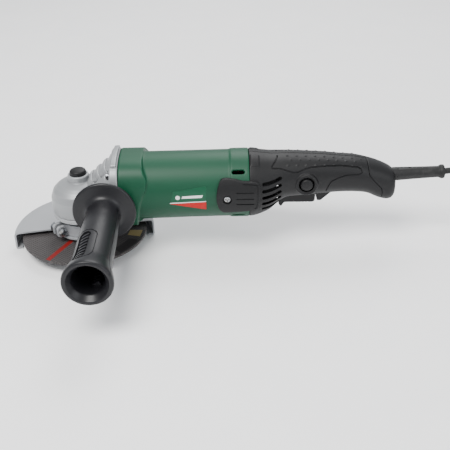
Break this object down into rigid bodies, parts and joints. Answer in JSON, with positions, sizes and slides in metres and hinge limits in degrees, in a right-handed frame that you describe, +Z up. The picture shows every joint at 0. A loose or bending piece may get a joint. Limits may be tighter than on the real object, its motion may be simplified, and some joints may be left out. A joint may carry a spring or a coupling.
{
  "type": "angle grinder",
  "caption": "Long-handled electric angle grinder with a side handle, wheel guard, abrasive disc, rear trigger and coiled mains cord.",
  "frame": {"origin": "on the floor below the middle of the tool, its cord left out", "axes": "+X back along the motor towards the cord, +Y away from the side handle, +Z up; the motor axis is level"},
  "size_m": [0.6197, 0.2645, 0.099],
  "materials": {
    "cast_housing": "light grey paint on die-cast aluminium, satin",
    "green_plastic": "moulded glass-filled nylon, fine grain, satin",
    "black_plastic": "moulded nylon, fine grain, satin",
    "grip_plastic": "moulded nylon, slight sheen",
    "zinc_steel": "zinc-plated steel, bright",
    "machined_steel": "turned and ground steel",
    "guard_sheet": "light grey powder coat on pressed steel sheet",
    "copper": "copper wire and segments, varnished",
    "brass": "pressed brass",
    "carbon": "pressed carbon, matte",
    "abrasive": "resin-bonded abrasive with glass-fibre mesh, matte",
    "cord_rubber": "black rubber sheath, matte"
  },
  "bodies": {
    "tool": {"gear_housing": "cast_housing", "gearbox_cover": "cast_housing", "housing_screw_1": "zinc_steel", "housing_screw_2": "zinc_steel", "housing_screw_3": "zinc_steel", "housing_screw_4": "zinc_steel", "spindle_lock_spring": "machined_steel", "spindle_upper_bush": "brass", "spindle_lower_bearing": "machined_steel", "front_armature_bearing": "machined_steel", "rear_armature_bearing": "machined_steel", "front_bearing_plate": "cast_housing", "stator_core": "machined_steel", "field_coil_left": "copper", "field_coil_right": "copper", "motor_housing": "green_plastic", "brush_holder_left": "brass", "brush_holder_right": "brass", "carbon_brush_left": "carbon", "carbon_brush_right": "carbon", "brush_spring_left": "machined_steel", "brush_spring_right": "machined_steel", "brush_cover_left": "black_plastic", "brush_cover_right": "black_plastic", "brush_cover_screw_left": "zinc_steel", "brush_cover_screw_right": "zinc_steel", "air_baffle": "black_plastic", "handle_shell_left": "black_plastic", "handle_shell_right": "black_plastic", "handle_end_cap": "black_plastic", "strain_relief": "cord_rubber", "switch_block": "grip_plastic", "cord_clamp": "grip_plastic", "side_handle_grip": "grip_plastic", "side_handle_stud": "zinc_steel", "cord_lead": "cord_rubber", "cord_coil": "cord_rubber", "cord_tail": "cord_rubber", "plug_body": "cord_rubber", "plug_pin_1": "brass", "plug_pin_2": "brass"},
    "spindle_group": {"spindle": "machined_steel", "bevel_gear": "machined_steel", "inner_flange": "machined_steel", "abrasive_disc": "abrasive", "flange_nut": "machined_steel"},
    "armature": {"armature_shaft": "machined_steel", "armature_core": "machined_steel", "armature_winding_front": "copper", "armature_winding_rear": "copper", "commutator": "copper", "cooling_fan": "black_plastic", "pinion": "machined_steel"},
    "guard": {"guard_shell": "guard_sheet", "guard_band": "guard_sheet", "guard_clamp_bolt": "zinc_steel", "guard_clamp_nut": "zinc_steel"},
    "spindle_lock": {"spindle_lock_button": "black_plastic"},
    "switch_trigger": {"trigger": "black_plastic"},
    "lock_on": {"lock_on_button": "black_plastic"}
  },
  "joints": [
    {"name": "spindle_spin", "type": "hinge", "parent": "tool", "child": "spindle_group", "pos_m": [-0.1446, 0.04554, 0.0645], "axis": [0, 0, 1], "continuous": true},
    {"name": "armature_spin", "type": "hinge", "parent": "tool", "child": "armature", "pos_m": [-0.1446, 0.04554, 0.0645], "axis": [1, 0, 0], "continuous": true},
    {"name": "guard_turn", "type": "hinge", "parent": "tool", "child": "guard", "pos_m": [-0.1446, 0.04554, 0.0645], "axis": [0, 0, 1], "range_deg": [-90, 120]},
    {"name": "spindle_lock_press", "type": "slide", "parent": "tool", "child": "spindle_lock", "axis": [0, 0, -1], "range_m": [0, 0.004], "stiffness_N_per_m": 900, "springref_m": -0.001, "deforming": ["spindle_lock_spring"]},
    {"name": "trigger_press", "type": "hinge", "parent": "tool", "child": "switch_trigger", "pos_m": [0.0864, 0.04554, 0.054], "axis": [0, 1, 0], "range_deg": [0, 6], "stiffness_Nm_per_rad": 3, "springref_deg": -1.72},
    {"name": "lock_on_press", "type": "slide", "parent": "tool", "child": "lock_on", "axis": [0, 1, 0], "range_m": [0, 0.003], "stiffness_N_per_m": 700, "springref_m": -0.0008}
  ],
  "couplings": [
    {"joint": "armature_spin", "follows": "spindle_spin", "ratio": 3.1667}
  ]
}
